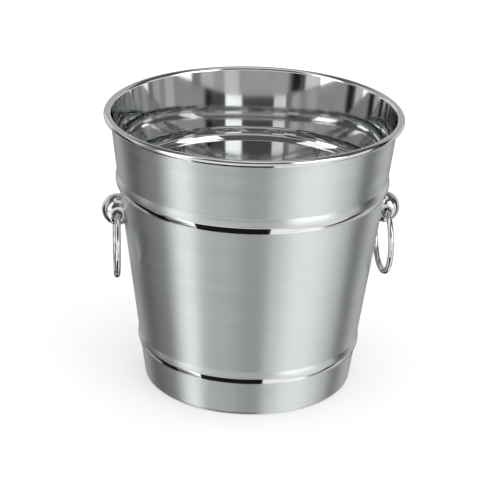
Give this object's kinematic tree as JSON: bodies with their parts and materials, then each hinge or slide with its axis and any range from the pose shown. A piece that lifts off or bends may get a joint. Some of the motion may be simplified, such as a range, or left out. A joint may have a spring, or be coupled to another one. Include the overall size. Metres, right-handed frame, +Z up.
{
  "type": "champagne bucket with ring handles",
  "caption": "Tapered stainless ice bucket for a bottle, with a rolled rim, half-round beads and swinging ring handles on ball lugs.",
  "frame": {"origin": "centre of the ring that the bucket rests on, at the table", "axes": "+Z up along the bucket's own axis, X through the two ball lugs with +X to the right ring, Y square to both"},
  "size_m": [0.2226, 0.22, 0.2095],
  "materials": {
    "drawn_sheet": "stainless sheet, satin brushed round the outside, mirror polished inside and on the rim and beads",
    "polished_lug": "mirror-polished stainless steel",
    "polished_ring": "mirror-polished stainless steel",
    "screw_steel": "plain turned stainless steel",
    "washer_steel": "stamped and tumbled stainless steel",
    "seal_rubber": "smooth food-safe rubber"
  },
  "bodies": {
    "bucket": {"bucket_shell": "drawn_sheet", "left_ball_lug": "polished_lug", "right_ball_lug": "polished_lug", "left_lug_screw": "screw_steel", "right_lug_screw": "screw_steel", "left_washer": "washer_steel", "right_washer": "washer_steel", "left_seal": "seal_rubber", "right_seal": "seal_rubber"},
    "left_handle": {"left_ring": "polished_ring"},
    "right_handle": {"right_ring": "polished_ring"}
  },
  "joints": [
    {"name": "left_ring_swing", "type": "hinge", "parent": "bucket", "child": "left_handle", "pos_m": [-0.10032, 0, 0.1323], "axis": [0, 1, 0], "range_deg": [-9, 174]},
    {"name": "right_ring_swing", "type": "hinge", "parent": "bucket", "child": "right_handle", "pos_m": [0.10032, 0, 0.1323], "axis": [0, -1, 0], "range_deg": [-9, 174]}
  ]
}
